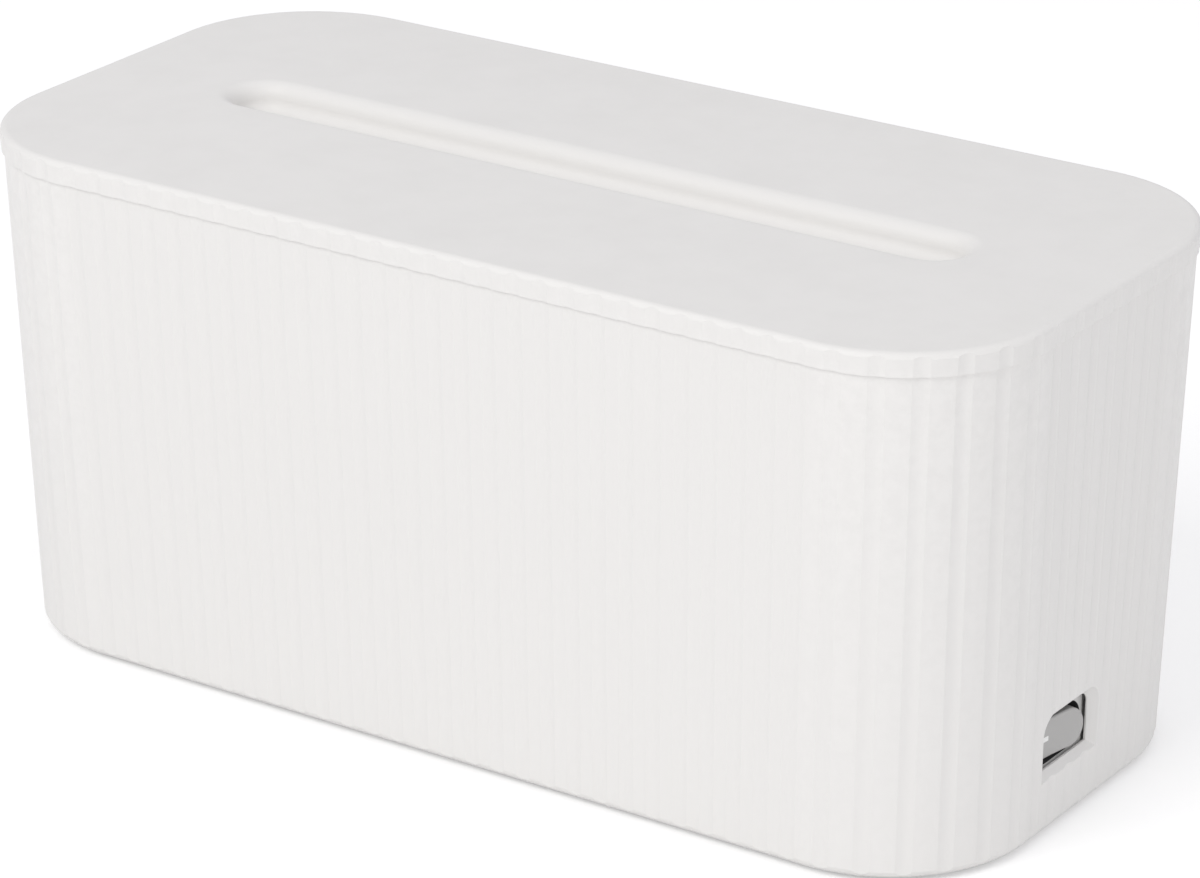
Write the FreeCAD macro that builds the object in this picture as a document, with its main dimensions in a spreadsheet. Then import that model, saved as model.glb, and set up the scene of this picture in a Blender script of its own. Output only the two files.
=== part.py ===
import FreeCAD, Part
import math
import os
import re
import Sketcher

# Cable management box: a fluted tub with a channelled lid, and a socket strip built into it.
# +X runs to the right along the box, +Y to the back, +Z up. The origin is the middle of
# the surface that the box stands on. All sizes are in millimetres.

os.makedirs("parts", exist_ok=True)
Vector = FreeCAD.Vector

SIZES = [
    # the box as a whole
    ("total_height", 140.0),
    ("lid_length", 307.2),
    ("lid_width", 145.8),
    ("wall_lean", 3.9),
    ("corner_radius", 39.8),
    # tub
    ("wall", 2.5),
    ("tub_floor", 2.5),
    ("base_round", 3.0),
    ("cavity_round", 0.8),
    # flutes round the tub and the lid's skirt
    ("flute_pitch", 7.8),
    ("flute_width", 4.2),
    ("flute_depth", 0.35),
    ("corner_flutes", 6),
    # lid
    ("lid_overhang", 0.7),
    ("skirt_height", 6.0),
    ("skirt_wall", 2.2),
    ("lid_plate", 2.4),
    ("lid_round", 1.8),
    ("rim_depth", 6.0),
    ("rim_wall", 1.8),
    ("rim_clearance", 0.4),
    # channel in the lid
    ("slot_inset", 43.0),
    ("slot_width", 16.5),
    ("slot_roll", 4.0),
    ("slot_depth", 7.5),
    ("slot_round", 3.0),
    ("slot_wall", 2.0),
    # feet
    ("foot_diameter", 14.0),
    ("foot_thickness", 2.2),
    ("foot_proud", 1.0),
    ("foot_fit", 0.1),
    ("foot_edge", 0.4),
    ("foot_inset_x", 27.0),
    ("foot_inset_y", 22.0),
    # window over the switch, in the right end wall
    ("window_near", 1.4),
    ("window_far", 0.4),
    ("window_sill", 1.2),
    ("window_head", 0.2),
    ("window_round", 3.1),
    ("window_flare", 1.9),
    # outlet over the inlet, in the left end wall
    ("outlet_margin", 4.0),
    ("outlet_round", 5.0),
    # ribs that keep the strip in place on the floor
    ("cradle_length", 50.0),
    ("cradle_height", 6.0),
    ("cradle_wall", 2.0),
    ("cradle_inset", 70.0),
    ("cradle_clearance", 0.3),
    # socket strip casing
    ("end_clearance", 0.5),
    ("strip_offset", -8.7),
    ("strip_wall", 2.0),
    ("strip_round", 8.0),
    ("strip_edge", 2.5),
    ("tray_height", 9.0),
    ("boss_diameter", 7.0),
    ("boss_gap", 1.5),
    ("end_bay", 39.5),
    # screws
    ("screw_diameter", 3.0),
    ("screw_head_diameter", 5.6),
    ("screw_head_height", 2.0),
    ("screw_clearance", 0.2),
    ("screw_bite", 0.3),
    ("screw_length", 16.0),
    ("mount_screw_length", 8.0),
    ("recess_width", 0.9),
    ("recess_depth", 1.0),
    # sockets
    ("socket_gap", 6.0),
    ("socket_bore", 39.6),
    ("socket_depth", 17.5),
    ("socket_wall", 1.0),
    ("socket_floor", 2.0),
    ("socket_flange", 2.0),
    ("flange_height", 1.2),
    ("socket_fit", 0.2),
    ("pin_hole", 5.4),
    ("pin_spacing", 19.0),
    ("guide_width", 5.0),
    ("guide_depth", 1.6),
    # contact bars
    ("bar_width", 6.0),
    ("bar_thickness", 0.8),
    ("bar_standoff", 2.5),
    ("rest_width", 6.0),
    ("grip_gap", 4.6),
    ("grip_clearance", 0.6),
    ("bar_overrun", 12.0),
    ("clip_width", 5.0),
    ("clip_slot_clearance", 0.3),
    ("clip_top_gap", 4.0),
    ("clip_bump", 1.4),
    ("link_width", 4.0),
    ("link_gap", 1.5),
    # switch
    ("switch_length", 25.0),
    ("switch_height", 15.0),
    ("switch_margin", 3.65),
    ("switch_wall", 0.9),
    ("pivot_wall", 1.25),
    ("switch_depth", 21.0),
    ("switch_proud", 1.0),
    ("switch_fit", 0.15),
    ("switch_back", 3.0),
    ("collar_lip", 1.0),
    ("collar_thickness", 1.5),
    ("rocker_gap", 1.0),
    ("rocker_reach", 6.0),
    ("rocker_skirt", 2.0),
    ("rocker_tilt", 10.0),
    ("rocker_swing", 0.3),
    ("rocker_face", 1.0),
    ("rocker_dish", 90.0),
    ("rocker_edge", 0.5),
    ("pivot_diameter", 2.0),
    ("pivot_clearance", 0.05),
    ("pivot_bite", 0.6),
    ("mark_length", 4.5),
    ("mark_width", 1.3),
    ("mark_start", 2.9),
    ("mark_depth", 0.4),
    ("plunger_diameter", 3.0),
    ("plunger_clearance", 0.1),
    ("plunger_reach", 8.0),
    ("plunger_back", 0.8),
    ("spring_length", 3.0),
    ("spring_diameter", 2.6),
    ("spring_wire", 0.35),
    ("spring_turns", 4),
    ("blade_length", 16.0),
    ("blade_height", 5.0),
    ("blade_thickness", 0.8),
    ("blade_tilt", 5.0),
    ("blade_gap", 0.1),
    ("contact_diameter", 2.4),
    ("contact_height", 0.6),
    ("contact_offset", 6.3),
    ("contact_gap", 0.06),
    ("terminal_height", 6.0),
    ("terminal_tail", 8.0),
    ("load_tail", 17.0),
    # inlet
    ("inlet_width", 27.4),
    ("inlet_height", 20.0),
    ("inlet_depth", 26.0),
    ("inlet_margin", 2.5),
    ("inlet_wall", 1.6),
    ("inlet_cavity", 17.0),
    ("inlet_chamfer", 4.0),
    ("inlet_pin_spacing", 7.0),
    ("inlet_pin_drop", 2.0),
    ("inlet_pin_height", 4.0),
    ("inlet_pin_thickness", 2.0),
    ("inlet_pin_length", 14.0),
    ("inlet_tail", 6.0),
]

doc = FreeCAD.newDocument("cable_box")
sheet = doc.addObject("Spreadsheet::Sheet", "sizes")
for row, (alias, amount) in enumerate(SIZES, start=1):
    sheet.set(f"A{row}", alias)
    sheet.set(f"B{row}", str(amount))
    sheet.setAlias(f"B{row}", alias)
doc.recompute()
ALIASES = {alias for alias, amount in SIZES}


def size(formula):
    """What a size, or a formula of sizes, comes to"""
    return float(sheet.evalExpression(formula))


def bound(formula):
    """A formula of plain size names, pointed at the sheet's cells"""
    return re.sub(r"[a-z_]+", lambda word: "sizes." + word[0] if word[0] in ALIASES else word[0], formula)


# How far a cutting shape runs past what it cuts
SPARE = 5.0

# Levels and places that several pieces share, as formulas of the sizes above. The strip is
# as wide as its contact bars, link and screw bosses need, and as high as its inlet.
BASE_LENGTH = "(lid_length - lid_overhang * 2 - wall_lean * 2)"
BASE_WIDTH = "(lid_width - lid_overhang * 2 - wall_lean * 2)"
SLOT_LENGTH = "(lid_length - slot_inset * 2)"
STRIP_BOTTOM = "(foot_proud + tub_floor)"
SPLIT = f"({STRIP_BOTTOM} + tray_height)"
STRIP_TOP = f"({SPLIT} + inlet_margin * 2 + inlet_height + strip_wall)"
STRIP_END = f"({BASE_LENGTH} / 2 - wall - switch_proud - end_clearance)"
LINK = "(pin_spacing / 2 + bar_width / 2 + link_gap + link_width / 2)"
BOSS_Y = f"({LINK} + link_width / 2 + link_gap + boss_diameter / 2)"
STRIP_HALF = f"({BOSS_Y} + boss_diameter / 2 + boss_gap + strip_wall)"
BOSS_X = f"({STRIP_END} - end_bay)"
LEAST_PITCH = "(socket_bore + socket_wall * 2 + socket_flange * 2 + socket_gap)"
SOCKETS = max(2, int(size(f"floor({BOSS_X} * 2 / {LEAST_PITCH})")))
SOCKET_PITCH = f"({BOSS_X} * 2 / {SOCKETS})"
BAR_BOTTOM = f"({STRIP_BOTTOM} + strip_wall + bar_standoff)"
BAR_TOP = f"({BAR_BOTTOM} + bar_thickness)"
CUP_TOP = f"({STRIP_TOP} + flange_height)"
CUP_FLOOR = f"({CUP_TOP} - socket_depth)"
CUP_BOTTOM = f"({CUP_FLOOR} - socket_floor)"
SWITCH_LEVEL = f"({SPLIT} + switch_margin + switch_height / 2)"
SWITCH_FRONT = f"({STRIP_END} + switch_proud)"
SWITCH_REAR = f"({SWITCH_FRONT} - switch_depth)"
PIVOT = f"({SWITCH_FRONT} + rocker_face - rocker_reach)"
BLADE_STAND = "(blade_thickness / 2 + blade_gap)"
FULCRUM = f"({PIVOT} - plunger_reach - blade_gap - blade_thickness - {BLADE_STAND})"
INLET_FRONT = f"(-{STRIP_END} - switch_proud)"
INLET_REAR = f"({INLET_FRONT} + inlet_depth)"
INLET_MIDDLE = f"({SPLIT} + inlet_margin + inlet_height / 2)"
INLET_TAIL_END = f"({INLET_REAR} + inlet_tail)"
COMMON_TAIL_END = f"({SWITCH_REAR} - terminal_tail)"
LOAD_TAIL_END = f"({SWITCH_REAR} - load_tail)"
AXIS_TURNS = {
    "x": FreeCAD.Rotation(Vector(0, 1, 0), 90),
    "y": FreeCAD.Rotation(Vector(1, 0, 0), -90),
    "z": FreeCAD.Rotation(),
}
nodes = []


def place(item, x, y, z):
    """Ties an object's base point to three formulas"""
    for axis, formula in zip("xyz", (x, y, z)):
        item.setExpression("Placement.Base." + axis, bound(formula))
    return item


def block(name, x, y, z):
    """A box between a low and a high formula along each axis"""
    item = doc.addObject("Part::Box", name)
    for side, (low, high) in zip(("Length", "Width", "Height"), (x, y, z)):
        item.setExpression(side, bound(f"({high}) - ({low})"))
    return place(item, x[0], y[0], z[0])


def rod(name, axis, centre, radius, span):
    """A cylinder along an axis: centre holds the two formulas across it, span the two along it"""
    item = doc.addObject("Part::Cylinder", name)
    item.Placement = FreeCAD.Placement(Vector(), AXIS_TURNS[axis])
    item.setExpression("Radius", bound(radius))
    item.setExpression("Height", bound(f"({span[1]}) - ({span[0]})"))
    spot = list(centre)
    spot.insert("xyz".index(axis), span[0])
    return place(item, *spot)


def fuse(name, *pieces):
    """One solid of several that meet"""
    item = doc.addObject("Part::MultiFuse", name)
    item.Shapes = list(pieces)
    item.Refine = True
    return item


def cut(name, base, *tools):
    """The base with every tool taken out of it"""
    item = doc.addObject("Part::Cut", name)
    item.Base = base
    item.Tool = tools[0] if len(tools) == 1 else fuse(name + "_cuts", *tools)
    return item


def rounded(name, kind, base, radius, chosen):
    """The base with the edges that the test picks rounded or bevelled, as the kind says"""
    doc.recompute()
    item = doc.addObject(kind, name)
    item.Base = base
    numbers = [number for number, edge in enumerate(base.Shape.Edges, start=1) if chosen(edge)]
    item.Edges = [(number, radius, radius) for number in numbers]
    return item


def along(axis):
    """A test for straight edges that run along an axis"""
    index = "xyz".index(axis)

    def runs(edge):
        start, end = edge.firstVertex().Point, edge.lastVertex().Point
        others = [abs(start[other] - end[other]) for other in range(3) if other != index]
        return max(others) < 1e-6 and abs(start[index] - end[index]) > 1e-6

    return runs


def at_level(axis, level):
    """A test for edges that lie wholly in one plane across an axis"""
    low, high = axis.upper() + "Min", axis.upper() + "Max"
    return lambda edge: max(abs(getattr(edge.BoundBox, side) - level) for side in (low, high)) < 1e-4


def node(item, label):
    """Marks an object as a finished sub-part under its own label"""
    item.Label = label
    nodes.append(item)
    return item


def solid(name, shape):
    """A sub-part or blank whose shape comes from lofted outlines"""
    item = doc.addObject("Part::Feature", name)
    item.Shape = shape
    return item


# Outlines of the shell: four straight sides and four round corners, fluted or plain.
# Each side's flutes are spread evenly, and a land straddles every tangent point.

RADIUS = size("corner_radius")
FLAT_FLUTES = {
    "length": max(1, round((size(BASE_LENGTH) - 2 * RADIUS) / size("flute_pitch"))),
    "width": max(1, round((size(BASE_WIDTH) - 2 * RADIUS) / size("flute_pitch"))),
}
RIM = size("total_height - skirt_height")
GROUND = size("foot_proud")


def run_edges(point_at, total, count, straight):
    """Edges along one side or corner; point_at gives the point at a distance and an inset"""
    def land(start, end):
        if straight:
            return Part.makeLine(point_at(start, 0), point_at(end, 0))
        return Part.Arc(point_at(start, 0), point_at((start + end) / 2, 0), point_at(end, 0)).toShape()

    edges, here = [], 0.0
    for index in range(count):
        middle = total / count * (index + 0.5)
        start, end = middle - size("flute_width") / 2, middle + size("flute_width") / 2
        edges.append(land(here, start))
        groove = Part.Arc(point_at(start, 0), point_at(middle, size("flute_depth")), point_at(end, 0))
        edges.append(groove.toShape())
        here = end
    edges.append(land(here, total))
    return edges


def outline(half_length, half_width, radius, level, fluted):
    """The closed outline of the shell at one level, anticlockwise from the right end wall"""
    straights = {"length": 2 * (half_length - radius), "width": 2 * (half_width - radius)}
    edges = []
    for quarter, side in enumerate(("width", "length", "width", "length")):
        turn = math.radians(90 * quarter)
        outward = Vector(math.cos(turn), math.sin(turn), 0)
        onward = Vector(-math.sin(turn), math.cos(turn), 0)
        reach = half_length if side == "width" else half_width
        start = outward * reach - onward * (straights[side] / 2) + Vector(0, 0, level)
        centre = outward * (reach - radius) + onward * (straights[side] / 2) + Vector(0, 0, level)

        def on_side(distance, inset, start=start, onward=onward, outward=outward):
            return start + onward * distance - outward * inset

        def on_corner(distance, inset, centre=centre, turn=turn):
            angle = turn + distance / radius
            return centre + Vector(math.cos(angle), math.sin(angle), 0) * (radius - inset)

        flutes = FLAT_FLUTES[side] if fluted else 0
        corner_flutes = int(size("corner_flutes")) if fluted else 0
        edges += run_edges(on_side, straights[side], flutes, True)
        edges += run_edges(on_corner, math.pi / 2 * radius, corner_flutes, False)
    return Part.Wire(edges)


def half_sizes(level):
    """Half length and half width of the tub's outer face at a level: the walls lean out evenly"""
    lean = size("wall_lean") * (level - GROUND) / (size("total_height") - GROUND)
    return size(BASE_LENGTH) / 2 + lean, size(BASE_WIDTH) / 2 + lean


def shell(low, high, grow, fluted=False, upright=None):
    """A solid between two levels whose outline stands off the tub's outer face by grow"""
    wires = []
    for level in (low, high):
        half_length, half_width = half_sizes(level if upright is None else upright)
        wires.append(outline(half_length + grow, half_width + grow, RADIUS + grow, level, fluted))
    return Part.makeLoft(wires, True, True)


def rounded_shell(low, high, grow, radius, rounded_level):
    """A plain shell with the edges at one of its ends rounded"""
    plain = shell(low, high, grow)
    return plain.makeFillet(radius, [edge for edge in plain.Edges if at_level("z", rounded_level)(edge)])


# The rounding at the foot and the top of the fluted faces comes from a plain shell this
# much larger than them, which trims their ends.
TRIM = 0.05


def racetrack(length, width, low, high):
    """An upright solid with half-round ends"""
    straight, radius = (length - width) / 2, width / 2
    corners = [Vector(straight * sx, radius * sy, low) for sx, sy in ((-1, -1), (1, -1), (1, 1), (-1, 1))]
    right, left = Vector(straight + radius, 0, low), Vector(-straight - radius, 0, low)
    wire = Part.Wire([
        Part.makeLine(corners[0], corners[1]),
        Part.Arc(corners[1], right, corners[2]).toShape(),
        Part.makeLine(corners[2], corners[3]),
        Part.Arc(corners[3], left, corners[0]).toShape(),
    ])
    return Part.Face(wire).extrude(Vector(0, 0, high - low))


def tub_blank():
    """The tub's fluted outer body, hollowed, before its openings are cut"""
    body = shell(GROUND, RIM, 0, fluted=True)
    body = body.common(rounded_shell(GROUND, RIM + SPARE, TRIM, size("base_round"), GROUND))
    floor = GROUND + size("tub_floor")
    cavity = rounded_shell(floor, RIM + SPARE, -size("wall"), size("cavity_round"), floor)
    return body.cut(cavity)


def lid_body():
    """The lid: fluted skirt, flat top, locating rim and the closed channel with its rolled lip"""
    top = size("total_height")
    under = top - size("lid_plate")
    body = shell(RIM, top, size("lid_overhang"), fluted=True)
    body = body.common(rounded_shell(RIM - SPARE, top, size("lid_overhang") + TRIM, size("lid_round"), top))
    body = body.cut(shell(RIM - SPARE, under, size("lid_overhang") - size("skirt_wall")))
    rim_foot = RIM - size("rim_depth")
    rim_face = -size("wall") - size("rim_clearance")
    rim = shell(rim_foot, under, rim_face, upright=rim_foot)
    rim = rim.cut(shell(rim_foot - SPARE, under, rim_face - size("rim_wall"), upright=rim_foot))
    channel_floor = top - size("slot_depth")
    lip_foot = channel_floor - size("slot_wall")
    lip_grow = 2 * size("slot_wall")
    lip = racetrack(size(SLOT_LENGTH) + lip_grow, size("slot_width") + lip_grow, lip_foot, under)
    body = body.fuse([rim, lip]).removeSplitter()
    channel = racetrack(size(SLOT_LENGTH), size("slot_width"), channel_floor, top + SPARE)
    foot_edges = [edge for edge in channel.Edges if at_level("z", channel_floor)(edge)]
    body = body.cut(channel.makeFillet(size("slot_round"), foot_edges))
    reach = size(SLOT_LENGTH) / 2 + TRIM
    roll = [
        edge for edge in body.Edges
        if at_level("z", top)(edge) and max(abs(edge.BoundBox.XMin), abs(edge.BoundBox.XMax)) < reach
    ]
    return body.makeFillet(size("slot_roll"), roll)


# Tub: one injection moulding with a window at its right end, an outlet at its left end,
# four seats for the feet, countersinks for the strip's screws and four cradle ribs.

OUTSIDE = f"({BASE_LENGTH} / 2 + wall_lean + {SPARE})"
WINDOW_BOTTOM = f"({SWITCH_LEVEL} - switch_height / 2 + window_sill)"
WINDOW_FLARE = (
    f"({BASE_LENGTH} / 2 - window_flare"
    f" + wall_lean * ({WINDOW_BOTTOM} - foot_proud) / (total_height - foot_proud))"
)


def window_outline(x, grow):
    """The window's outline at one depth: it laps over the switch's front on all sides"""
    near = size("strip_offset - switch_length / 2 + window_near") - grow
    far = size("strip_offset + switch_length / 2 - window_far") + grow
    sill = size(WINDOW_BOTTOM) - grow
    head = size(f"{SWITCH_LEVEL} + switch_height / 2 - window_head") + grow
    radius = size("window_round") + grow
    bend = radius * math.sqrt(0.5)
    corners = [
        Vector(x, *spot) for spot in (
            (near, sill), (far, sill), (far, head - radius),
            (far - radius, head), (near + radius, head), (near, head - radius),
        )
    ]
    right = Vector(x, far - radius + bend, head - radius + bend)
    left = Vector(x, near + radius - bend, head - radius + bend)
    return Part.Wire([
        Part.makeLine(corners[0], corners[1]),
        Part.makeLine(corners[1], corners[2]),
        Part.Arc(corners[2], right, corners[3]).toShape(),
        Part.makeLine(corners[3], corners[4]),
        Part.Arc(corners[4], left, corners[5]).toShape(),
        Part.makeLine(corners[5], corners[0]),
    ])


def window_way():
    """The window's way through the wall: straight inside, then flared at 45 degrees"""
    start, flare = size(f"{STRIP_END} - strip_wall"), size(WINDOW_FLARE)
    inner = Part.Face(window_outline(start, 0)).extrude(Vector(flare + SPARE - start, 0, 0))
    outer = Part.makeLoft([window_outline(flare, 0), window_outline(flare + SPARE, SPARE)], True, True)
    return inner.fuse(outer)


window = solid("window", window_way())
outlet_blank = block(
    "outlet_blank",
    (f"-{OUTSIDE}", f"-{STRIP_END} + strip_wall"),
    (
        "strip_offset - inlet_width / 2 - outlet_margin",
        "strip_offset + inlet_width / 2 + outlet_margin",
    ),
    (
        f"{INLET_MIDDLE} - inlet_height / 2 - outlet_margin",
        f"{INLET_MIDDLE} + inlet_height / 2 + outlet_margin",
    ),
)
outlet = rounded("outlet", "Part::Fillet", outlet_blank, size("outlet_round"), along("x"))

FOOT_X = f"({BASE_LENGTH} / 2 - foot_inset_x)"
FOOT_Y = f"({BASE_WIDTH} / 2 - foot_inset_y)"
CORNERS = {
    "front_left": ("-", "-"),
    "front_right": ("", "-"),
    "rear_left": ("-", ""),
    "rear_right": ("", ""),
}
foot_seats = [
    rod(
        "foot_seat_" + corner, "z", (sign_x + FOOT_X, sign_y + FOOT_Y),
        "foot_diameter / 2 + foot_fit", ("0", "foot_thickness"),
    )
    for corner, (sign_x, sign_y) in CORNERS.items()
]

# The sockets are spread evenly between the end bays. The screws that hold the strip come up
# through the tub's floor under it; the case screws stand in a middle gap between two
# sockets and by the end bays.
socket_places = [index - (SOCKETS - 1) / 2 for index in range(SOCKETS)]
gap_places = [(left + right) / 2 for left, right in zip(socket_places, socket_places[1:])]
MIDDLE_GAP = f"({gap_places[len(gap_places) // 2]:g} * {SOCKET_PITCH})"
MOUNT_SPOTS = [
    (f"({sign_x}{BOSS_X} / 2)", f"(strip_offset {sign_y} {BOSS_Y})")
    for sign_x in ("-", "") for sign_y in ("-", "+")
]
CASE_SPOTS = [
    (spread_x, f"(strip_offset {sign_y} {BOSS_Y})")
    for spread_x in (f"(-{BOSS_X})", MIDDLE_GAP, BOSS_X) for sign_y in ("-", "+")
]


def screw_way(name, spot, bottom, top):
    """The hole for a screw's shank and, at its lower end, the sunk seat of its head"""
    shank = rod(name + "_shank", "z", spot, "screw_diameter / 2 + screw_clearance", (bottom, top))
    seat = doc.addObject("Part::Cone", name + "_seat")
    seat.setExpression("Radius1", bound("screw_head_diameter / 2"))
    seat.setExpression("Radius2", bound("screw_diameter / 2 + screw_clearance"))
    seat.setExpression("Height", bound("screw_head_height"))
    place(seat, *spot, bottom)
    return fuse(name, shank, seat)


def screw(name, spot, bottom, length):
    """A countersunk screw, head down, with a cross recess"""
    head = doc.addObject("Part::Cone", name + "_head")
    head.setExpression("Radius1", bound("screw_head_diameter / 2"))
    head.setExpression("Radius2", bound("screw_diameter / 2"))
    head.setExpression("Height", bound("screw_head_height"))
    place(head, *spot, bottom)
    shank = rod(name + "_stem", "z", spot, "screw_diameter / 2", (bottom, f"{bottom} + {length}"))
    slots = [
        block(
            f"{name}_recess_{letter}",
            (f"{spot[0]} - {reach_x}", f"{spot[0]} + {reach_x}"),
            (f"{spot[1]} - {reach_y}", f"{spot[1]} + {reach_y}"),
            (bottom, f"{bottom} + recess_depth"),
        )
        for letter, reach_x, reach_y in (
            ("a", "recess_width * 2", "recess_width / 2"),
            ("b", "recess_width / 2", "recess_width * 2"),
        )
    ]
    return cut(name, fuse(name + "_blank", head, shank), *slots)


def group(name, pieces):
    """Separate like solids kept as one sub-part"""
    item = doc.addObject("Part::Compound", name)
    item.Links = list(pieces)
    return item


tub_screw_ways = [
    screw_way(f"tub_screw_way_{number}", spot, "foot_proud", f"{STRIP_BOTTOM} + cradle_height")
    for number, spot in enumerate(MOUNT_SPOTS, start=1)
]
cradle_ribs = []
for sign_x in ("-", ""):
    for sign_y, inner, outer in (("-", "-cradle_wall", "0"), ("+", "0", "cradle_wall")):
        face = f"strip_offset {sign_y} ({STRIP_HALF} + cradle_clearance)"
        middle = f"{sign_x}({STRIP_END} - cradle_inset)"
        cradle_ribs.append(block(
            f"cradle_rib_{len(cradle_ribs) + 1}",
            (f"{middle} - cradle_length / 2", f"{middle} + cradle_length / 2"),
            (f"{face} + {inner}", f"{face} + {outer}"),
            ("foot_proud + tub_floor / 2", f"{STRIP_BOTTOM} + cradle_height"),
        ))
tub_shell = fuse("tub_shell", solid("tub_blank", tub_blank()), *cradle_ribs)
node(cut("tub_built", tub_shell, window, outlet, *foot_seats, *tub_screw_ways), "tub")
node(solid("lid_body", lid_body()), "lid")


# Feet: turned rubber pads, glued into their seats in the tub's underside

def plane(body, role):
    """One of a body's own origin planes"""
    return next(item for item in body.Origin.OriginFeatures if item.Role == role)


def profile(body, name, role, corners):
    """A closed sketch of straight runs; each corner is a pair of formulas"""
    sketch = body.newObject("Sketcher::SketchObject", name)
    sketch.AttachmentSupport = [(plane(body, role), "")]
    sketch.MapMode = "FlatFace"
    count = len(corners)
    spots = [
        Vector(math.cos(2 * math.pi * index / count), math.sin(2 * math.pi * index / count), 0)
        for index in range(count)
    ]
    for index in range(count):
        sketch.addGeometry(Part.LineSegment(spots[index], spots[(index + 1) % count]), False)
    for index in range(count):
        sketch.addConstraint(Sketcher.Constraint("Coincident", index, 2, (index + 1) % count, 1))
    for index, corner in enumerate(corners):
        for kind, formula in zip(("DistanceX", "DistanceY"), corner):
            number = sketch.addConstraint(Sketcher.Constraint(kind, -1, 1, index, 1, 1.0))
            sketch.setExpression(f"Constraints[{number}]", bound(formula))
    return sketch


def turned(name, spot, corners):
    """A body turned about its own upright axis from a sketch of radius and height"""
    body = doc.addObject("PartDesign::Body", name)
    sketch = profile(body, name + "_profile", "XZ_Plane", corners)
    revolution = body.newObject("PartDesign::Revolution", name + "_turned")
    revolution.Profile = sketch
    revolution.ReferenceAxis = (sketch, ["V_Axis"])
    revolution.Angle = 360.0
    sketch.Visibility = False
    place(body, *spot)
    return body


FOOT_RADIUS = "foot_diameter / 2"
for corner, (sign_x, sign_y) in CORNERS.items():
    foot = turned("foot_" + corner + "_body", (sign_x + FOOT_X, sign_y + FOOT_Y, "0"), [
        ("0", "0"),
        (f"{FOOT_RADIUS} - foot_edge", "0"),
        (FOOT_RADIUS, "foot_edge"),
        (FOOT_RADIUS, "foot_thickness"),
        ("0", "foot_thickness"),
    ])
    node(foot, "foot_" + corner)


# Strip casing: a tray and a cover that meet face to face at the split

def casing(name, low, high):
    """A plain block of the strip's footprint with round upright corners"""
    blank = block(
        name + "_block",
        (f"-{STRIP_END}", STRIP_END),
        (f"strip_offset - {STRIP_HALF}", f"strip_offset + {STRIP_HALF}"),
        (low, high),
    )
    return rounded(name, "Part::Fillet", blank, size("strip_round"), along("z"))


def casing_hollow(name, low, high):
    """The inside of the casing, one wall in from its footprint"""
    blank = block(
        name + "_block",
        (f"-{STRIP_END} + strip_wall", f"{STRIP_END} - strip_wall"),
        (f"strip_offset - {STRIP_HALF} + strip_wall", f"strip_offset + {STRIP_HALF} - strip_wall"),
        (low, high),
    )
    return rounded(name, "Part::Fillet", blank, size("strip_round") - size("strip_wall"), along("z"))


tray = cut(
    "tray_shell",
    casing("tray_block", STRIP_BOTTOM, SPLIT),
    casing_hollow("tray_hollow", f"{STRIP_BOTTOM} + strip_wall", f"{SPLIT} + strip_wall"),
)
tray_bosses = [
    rod(f"tray_boss_{number}", "z", spot, "boss_diameter / 2", (f"{STRIP_BOTTOM} + strip_wall / 2", SPLIT))
    for number, spot in enumerate(MOUNT_SPOTS + CASE_SPOTS, start=1)
]
mount_pilots = [
    rod(
        f"mount_pilot_{number}", "z", spot, "(screw_diameter - screw_bite) / 2",
        (STRIP_BOTTOM, "foot_proud + mount_screw_length"),
    )
    for number, spot in enumerate(MOUNT_SPOTS, start=1)
]
case_ways = [
    screw_way(f"case_way_{number}", spot, STRIP_BOTTOM, SPLIT)
    for number, spot in enumerate(CASE_SPOTS, start=1)
]

BARS = {"line": "-pin_spacing / 2", "earth": "0", "neutral": "pin_spacing / 2"}
bar_rests = [
    block(
        f"bar_rest_{number}",
        (
            f"{gap:g} * {SOCKET_PITCH} - rest_width / 2",
            f"{gap:g} * {SOCKET_PITCH} + rest_width / 2",
        ),
        (
            f"strip_offset - {LINK} - link_width / 2",
            "strip_offset + pin_spacing / 2 + bar_width / 2",
        ),
        (f"{STRIP_BOTTOM} + strip_wall / 2", BAR_BOTTOM),
    )
    for number, gap in enumerate(gap_places, start=1)
]
node(
    cut("tray", fuse("tray_built", tray, *tray_bosses, *bar_rests), *mount_pilots, *case_ways),
    "strip_base",
)

cover_outer = rounded(
    "cover_outer", "Part::Fillet", casing("cover_block", SPLIT, STRIP_TOP), size("strip_edge"),
    at_level("z", size(STRIP_TOP)),
)
cover_shell = cut(
    "cover_shell", cover_outer,
    casing_hollow("cover_hollow", f"{SPLIT} - strip_wall", f"{STRIP_TOP} - strip_wall"),
)
cover_bosses = [
    rod(f"cover_boss_{number}", "z", spot, "boss_diameter / 2", (SPLIT, f"{STRIP_TOP} - strip_wall / 2"))
    for number, spot in enumerate(CASE_SPOTS, start=1)
]
case_pilots = [
    rod(
        f"case_pilot_{number}", "z", spot, "(screw_diameter - screw_bite) / 2",
        (SPLIT, f"{STRIP_BOTTOM} + screw_length"),
    )
    for number, spot in enumerate(CASE_SPOTS, start=1)
]
socket_ways = [
    rod(
        f"socket_way_{number}", "z", (f"{spot:g} * {SOCKET_PITCH}", "strip_offset"),
        "socket_bore / 2 + socket_wall + socket_fit",
        (f"{STRIP_TOP} - strip_wall - {SPARE}", f"{STRIP_TOP} + {SPARE}"),
    )
    for number, spot in enumerate(socket_places, start=1)
]
switch_way = block(
    "switch_way",
    (f"{STRIP_END} - strip_wall - {SPARE}", f"{STRIP_END} + {SPARE}"),
    (
        "strip_offset - switch_length / 2 - switch_fit",
        "strip_offset + switch_length / 2 + switch_fit",
    ),
    (
        f"{SWITCH_LEVEL} - switch_height / 2 - switch_fit",
        f"{SWITCH_LEVEL} + switch_height / 2 + switch_fit",
    ),
)
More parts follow.
